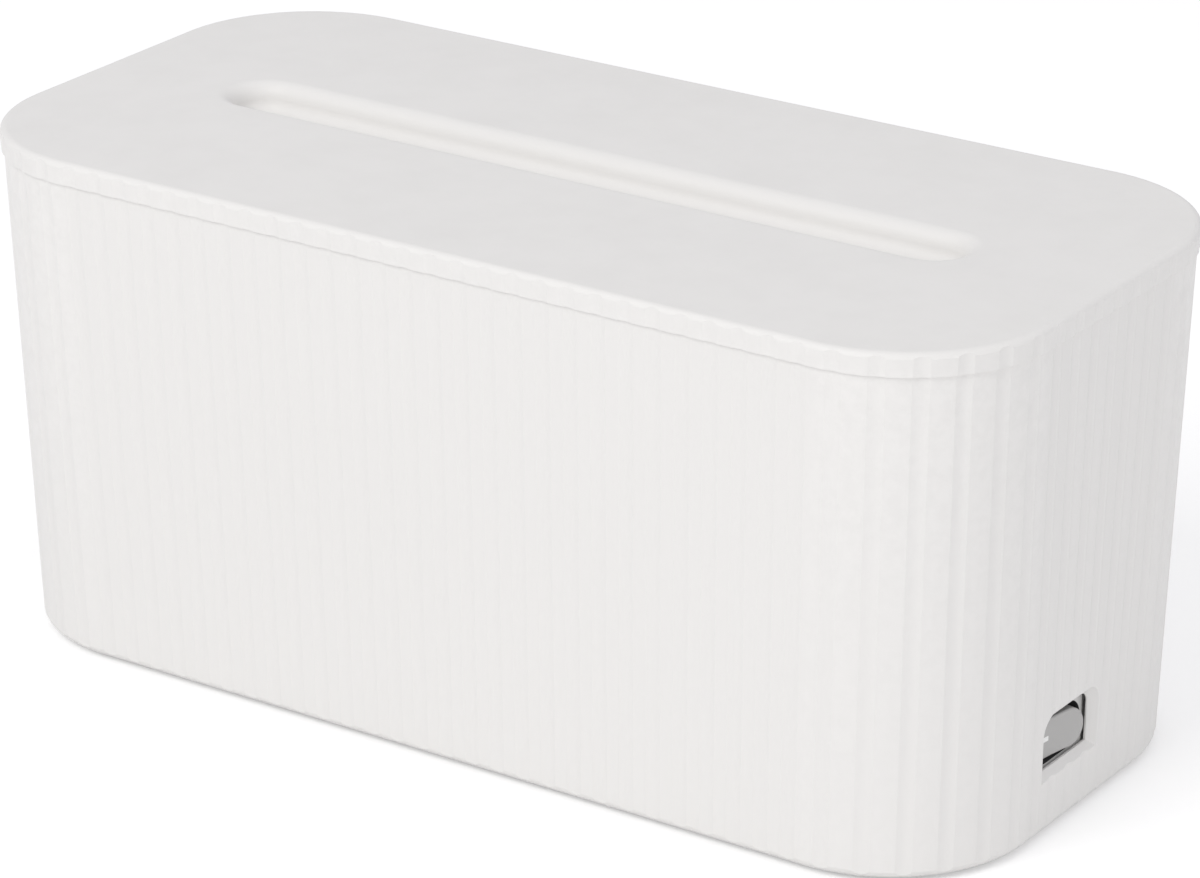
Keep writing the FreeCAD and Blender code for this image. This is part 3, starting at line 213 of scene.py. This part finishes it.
# Settled dust: thin on faces that look up, in patches
dust, dust_in, dust_out = new_group("settled_dust", [("Patch Scale", 60.0)], ["Mask"])
dust_place = add_node(dust, "ShaderNodeTexCoord")
dust_face = add_node(dust, "ShaderNodeSeparateXYZ", {0: dust_place.outputs["Normal"]})
dust_level = add_node(dust, "ShaderNodeMapRange", {
    "Value": dust_face.outputs["Z"], "From Min": 0.8, "From Max": 1.0,
})
dust_noise = add_node(dust, "ShaderNodeTexNoise", {
    "Vector": dust_place.outputs["Object"], "Scale": dust_in.outputs["Patch Scale"],
    "Detail": 5.0, "Roughness": 0.65,
})
dust_patch = add_node(dust, "ShaderNodeMapRange", {
    "Value": dust_noise.outputs[0], "From Min": 0.4, "From Max": 0.75,
})
dust_mask = add_node(dust, "ShaderNodeMath", operation="MULTIPLY", inputs={
    0: dust_level.outputs[0], 1: dust_patch.outputs[0],
})
dust.links.new(dust_mask.outputs[0], dust_out.inputs["Mask"])


def place_group(tree, group, **inputs):
    """A shader group placed in a material, with its inputs set"""
    made = tree.nodes.new("ShaderNodeGroup")
    made.node_tree = group
    for key, value in inputs.items():
        made.inputs[key.replace("_", " ").title()].default_value = value
    return made


def mix_colours(tree, mask, first, second):
    """A colour that goes from the first to the second with a mask"""
    made = add_node(tree, "ShaderNodeMix", data_type="RGBA")
    tree.links.new(mask, made.inputs["Factor"])
    for socket, value in ((made.inputs[6], first), (made.inputs[7], second)):
        if isinstance(value, bpy.types.NodeSocket):
            tree.links.new(value, socket)
        else:
            socket.default_value = (*value, 1)
    return made.outputs[2]


def new_material(name):
    """A material, its node tree and its surface shader"""
    made = bpy.data.materials.new(name)
    made.use_nodes = True
    return made, made.node_tree, made.node_tree.nodes["Principled BSDF"]


plastic_ior = 1.49
rubbed_lift = 1.03
rubbed_gloss = 0.12
sheen_spread = 0.05
dust_colour = (0.62, 0.61, 0.59)
dust_share = 0.12


def moulded_plastic(name, pale, deep, roughness, grain_scale, grain_height):
    """Moulded plastic: clouds between two close shades, a fine skin, rubbed edges and dust"""
    made, tree, surface = new_material(name)
    face = place_group(tree, skin, grain_scale=grain_scale)
    edge = place_group(tree, rubbed)
    settled = place_group(tree, dust)
    clouded = mix_colours(tree, face.outputs["Clouds"], deep, pale)
    lifted = [min(1.0, part * rubbed_lift) for part in pale]
    worn = mix_colours(tree, edge.outputs["Mask"], clouded, lifted)
    dusty = add_node(tree, "ShaderNodeMath", operation="MULTIPLY", inputs={
        0: settled.outputs["Mask"], 1: dust_share,
    })
    coloured = mix_colours(tree, dusty.outputs[0], worn, dust_colour)
    sheen = add_node(tree, "ShaderNodeMapRange", {
        "Value": face.outputs["Clouds"],
        "To Min": roughness + sheen_spread, "To Max": roughness - sheen_spread,
    })
    rub = add_node(tree, "ShaderNodeMath", operation="MULTIPLY", inputs={
        0: edge.outputs["Mask"], 1: -rubbed_gloss,
    })
    rough = add_node(tree, "ShaderNodeMath", operation="ADD", inputs={
        0: sheen.outputs[0], 1: rub.outputs[0],
    })
    relief = add_node(tree, "ShaderNodeBump", {
        "Height": face.outputs["Height"], "Distance": grain_height, "Strength": 1.0,
    })
    tree.links.new(coloured, surface.inputs["Base Color"])
    tree.links.new(rough.outputs[0], surface.inputs["Roughness"])
    tree.links.new(relief.outputs[0], surface.inputs["Normal"])
    surface.inputs["IOR"].default_value = plastic_ior
    return made


def finish(material, *names):
    """Gives the frame's own pieces their material"""
    for name in names:
        nodes[name].material_slots[0].material = material


shell_plastic = moulded_plastic(
    "warm_white_shell", pale=(0.835, 0.824, 0.808), deep=(0.82, 0.81, 0.793),
    roughness=0.5, grain_scale=2600, grain_height=0.000012,
)
finish(shell_plastic, "tub", "lid")


# Feet: four turned rubber pads, dark and matt, glued into round seats under the tub.
# Their rims pick up pale dust from the table.

rubber, rubber_tree, rubber_face = new_material("foot_rubber")
rubber_skin = place_group(rubber_tree, skin, grain_scale=1400)
rubber_edge = place_group(rubber_tree, rubbed, start=0.51, full=0.58)
rubber_colour = mix_colours(
    rubber_tree, rubber_skin.outputs["Clouds"], (0.018, 0.018, 0.019), (0.032, 0.032, 0.033),
)
rubber_worn = mix_colours(
    rubber_tree, rubber_edge.outputs["Mask"], rubber_colour, (0.09, 0.088, 0.085),
)
rubber_relief = add_node(rubber_tree, "ShaderNodeBump", {
    "Height": rubber_skin.outputs["Height"], "Distance": 0.00004, "Strength": 1.0,
})
rubber_rough = add_node(rubber_tree, "ShaderNodeMapRange", {
    "Value": rubber_skin.outputs["Clouds"], "To Min": 0.72, "To Max": 0.9,
})
rubber_tree.links.new(rubber_worn, rubber_face.inputs["Base Color"])
rubber_tree.links.new(rubber_rough.outputs[0], rubber_face.inputs["Roughness"])
rubber_tree.links.new(rubber_relief.outputs[0], rubber_face.inputs["Normal"])
finish(rubber, "foot_front_left", "foot_front_right", "foot_rear_left", "foot_rear_right")


# Strip casing: a tray and a cover in white flame-proof plastic, a shade greyer than the
# shell, screwed together from below. The sockets are glossier cups pressed into the cover.

strip_plastic = moulded_plastic(
    "strip_plastic", pale=(0.74, 0.74, 0.73), deep=(0.70, 0.70, 0.69),
    roughness=0.36, grain_scale=1900, grain_height=0.00001,
)
finish(strip_plastic, "strip_base", "strip_cover")
socket_plastic = moulded_plastic(
    "socket_plastic", pale=(0.66, 0.66, 0.65), deep=(0.62, 0.62, 0.61),
    roughness=0.24, grain_scale=1200, grain_height=0.000004,
)
finish(socket_plastic, "socket_1", "socket_2", "socket_3", "socket_4")


# Metal parts: zinc-plated steel screws, stamped brass contacts that have begun to tarnish,
# nickel-plated pins and a wound steel spring.

along_z, along_x, no_way = (1, 1, 0.2), (0.08, 1, 1), (1, 1, 1)


def worked_metal(name, bright, dull, roughness, scratch_scale, scratch_height, stretch):
    """Bare or plated metal: fine scratches drawn one way, tarnish in patches, bright edges"""
    made, tree, surface = new_material(name)
    place = add_node(tree, "ShaderNodeTexCoord")
    drawn = add_node(tree, "ShaderNodeMapping", {
        "Vector": place.outputs["Object"], "Scale": stretch,
    })
    scratches = add_node(tree, "ShaderNodeTexNoise", {
        "Vector": drawn.outputs[0], "Scale": scratch_scale, "Detail": 4.0, "Roughness": 0.6,
    })
    face = place_group(tree, skin, cloud_scale=180)
    edge = place_group(tree, rubbed, start=0.51, full=0.6)
    patches = add_node(tree, "ShaderNodeMapRange", {
        "Value": face.outputs["Clouds"], "From Min": 0.35, "From Max": 0.7,
    })
    tarnished = mix_colours(tree, patches.outputs[0], bright, dull)
    coloured = mix_colours(tree, edge.outputs["Mask"], tarnished, bright)
    rough = add_node(tree, "ShaderNodeMapRange", {
        "Value": scratches.outputs[0], "To Min": roughness - 0.08, "To Max": roughness + 0.12,
    })
    relief = add_node(tree, "ShaderNodeBump", {
        "Height": scratches.outputs[0], "Distance": scratch_height, "Strength": 1.0,
    })
    tree.links.new(coloured, surface.inputs["Base Color"])
    tree.links.new(rough.outputs[0], surface.inputs["Roughness"])
    tree.links.new(relief.outputs[0], surface.inputs["Normal"])
    surface.inputs["Metallic"].default_value = 1.0
    return made


zinc = worked_metal(
    "zinc_plate", bright=(0.70, 0.71, 0.73), dull=(0.52, 0.53, 0.55),
    roughness=0.32, scratch_scale=900, scratch_height=0.000004, stretch=along_z,
)
finish(zinc, "case_screws", "mount_screws")
brass = worked_metal(
    "stamped_brass", bright=(0.83, 0.62, 0.28), dull=(0.55, 0.38, 0.17),
    roughness=0.3, scratch_scale=1500, scratch_height=0.000003, stretch=along_x,
)
finish(
    brass, "neutral_bar", "line_bar", "line_link", "earth_bar",
    "switch_common_terminal", "switch_load_terminal", "contact_blade",
)
nickel = worked_metal(
    "nickel_plate", bright=(0.72, 0.69, 0.64), dull=(0.60, 0.57, 0.52),
    roughness=0.22, scratch_scale=1500, scratch_height=0.000002, stretch=along_x,
)
finish(nickel, "inlet_line_pin", "inlet_neutral_pin", "inlet_earth_pin")
wire = worked_metal(
    "spring_wire", bright=(0.60, 0.60, 0.61), dull=(0.44, 0.44, 0.45),
    roughness=0.3, scratch_scale=2500, scratch_height=0.000002, stretch=no_way,
)
finish(wire, "rocker_spring")


# Switch and inlet cases: dark nylon mouldings. The switch's front is faced in white up to the
# rim of the recess that the rocker sits in. The switch case's dark colour is partly painted
# shade: inside the recess it darkens the gap around the rocker beyond what the gap's depth
# gives.

case_nylon = moulded_plastic(
    "case_nylon", pale=(0.034, 0.034, 0.036), deep=(0.024, 0.024, 0.026),
    roughness=0.42, grain_scale=2200, grain_height=0.00001,
)
finish(case_nylon, "inlet_housing")
switch_nylon_and_gap_shade = moulded_plastic(
    "switch_nylon_and_gap_shade", pale=(0.050, 0.050, 0.052), deep=(0.040, 0.040, 0.042),
    roughness=0.42, grain_scale=2200, grain_height=0.00001,
)
facing_depth = 0.0008
facing_turn = 0.3
facing_colour = (0.72, 0.715, 0.70)


def face_front(material, front):
    """A white facing where a moulding's surface looks along +X and lies at its front"""
    tree = material.node_tree
    surface = tree.nodes["Principled BSDF"]
    place = add_node(tree, "ShaderNodeTexCoord")
    spot = add_node(tree, "ShaderNodeSeparateXYZ", {0: place.outputs["Object"]})
    shape = add_node(tree, "ShaderNodeNewGeometry")
    way = add_node(tree, "ShaderNodeSeparateXYZ", {0: shape.outputs["Normal"]})
    near = add_node(tree, "ShaderNodeMath", operation="GREATER_THAN", inputs={
        0: spot.outputs["X"], 1: front - facing_depth,
    })
    turned = add_node(tree, "ShaderNodeMath", operation="GREATER_THAN", inputs={
        0: way.outputs["X"], 1: facing_turn,
    })
    faced = add_node(tree, "ShaderNodeMath", operation="MULTIPLY", inputs={
        0: near.outputs[0], 1: turned.outputs[0],
    })
    dark = surface.inputs["Base Color"].links[0].from_socket
    coloured = mix_colours(tree, faced.outputs[0], dark, facing_colour)
    tree.links.new(coloured, surface.inputs["Base Color"])


# The white facing stops at the recess rim, so the gap round the rocker keeps the near-black
# colour as painted shade.
face_front(switch_nylon_and_gap_shade, front=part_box("switch_housing")[1].x)
finish(switch_nylon_and_gap_shade, "switch_housing")


# Rocker: a dished satin grey paddle on two trunnions, with a white bar let into its near
# end. A slick plunger and its spring ride inside it.

rocker_plastic = moulded_plastic(
    "rocker_plastic", pale=(0.48, 0.475, 0.467), deep=(0.44, 0.435, 0.427),
    roughness=0.34, grain_scale=2400, grain_height=0.000006,
)
finish(rocker_plastic, "rocker")
mark_plastic = moulded_plastic(
    "mark_plastic", pale=(0.92, 0.92, 0.91), deep=(0.88, 0.88, 0.87),
    roughness=0.34, grain_scale=2400, grain_height=0.000004,
)
finish(mark_plastic, "rocker_mark")
acetal = moulded_plastic(
    "acetal", pale=(0.74, 0.72, 0.66), deep=(0.70, 0.68, 0.62),
    roughness=0.3, grain_scale=2000, grain_height=0.000004,
)
finish(acetal, "rocker_plunger")
